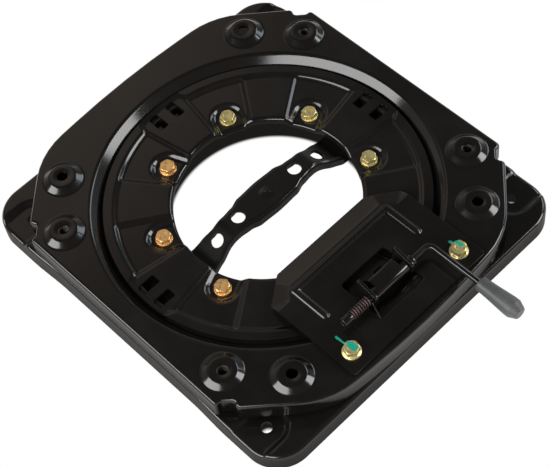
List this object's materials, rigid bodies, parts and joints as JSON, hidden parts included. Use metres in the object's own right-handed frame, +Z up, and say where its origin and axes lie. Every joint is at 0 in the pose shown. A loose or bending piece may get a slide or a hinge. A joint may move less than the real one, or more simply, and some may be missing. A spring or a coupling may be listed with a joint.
{
  "type": "swivel seat base",
  "caption": "Turning seat base: a pressed tray under a round-cornered seat plate with raised bolt bosses, a slotted latch ring, a bar across the open middle and a hand lever.",
  "frame": {"origin": "on the swivel axis, in the plane of the tray's lower rim", "axes": "+Z up along the swivel axis, +X towards the latch and the lever's grip, +Y completes a right-handed frame"},
  "size_m": [0.455, 0.3656, 0.0723],
  "materials": {
    "black_paint": "smooth glossy black powder coat",
    "yellow_zinc": "yellow passivated zinc",
    "weld_nut_steel": "bare steel",
    "spring_steel": "oil tempered wire, reddish brown",
    "grey_grip": "moulded grey plastic",
    "glide_plastic": "plain acetal"
  },
  "bodies": {
    "base": {"base_plate": "black_paint", "ring_plate": "black_paint", "cross_bar": "black_paint", "glide_ring_lower": "glide_plastic", "glide_ring_upper": "glide_plastic", "ring_bolts": "yellow_zinc", "ring_bolt_washers": "yellow_zinc", "ring_bolt_nuts": "weld_nut_steel"},
    "seat": {"seat_plate": "black_paint", "seat_weld_nuts": "weld_nut_steel", "latch_plate": "black_paint", "latch_flange_bolts": "yellow_zinc", "latch_weld_nuts": "weld_nut_steel", "latch_ear_left": "black_paint", "latch_ear_right": "black_paint", "lever_spring": "spring_steel"},
    "lever": {"lever_rod": "black_paint", "pawl": "black_paint", "lever_grip": "grey_grip", "spring_collar": "black_paint", "pivot_ring": "black_paint"}
  },
  "joints": [
    {"name": "seat_swivel", "type": "hinge", "parent": "base", "child": "seat", "pos_m": [0, 0, 0], "axis": [0, 0, 1], "range_deg": [-180, 180]},
    {"name": "latch_lever", "type": "hinge", "parent": "seat", "child": "lever", "pos_m": [0.154, 0, 0.061], "axis": [0, 1, 0], "range_deg": [-12, 8], "stiffness_Nm_per_rad": 0.3, "springref_deg": -34.38}
  ]
}
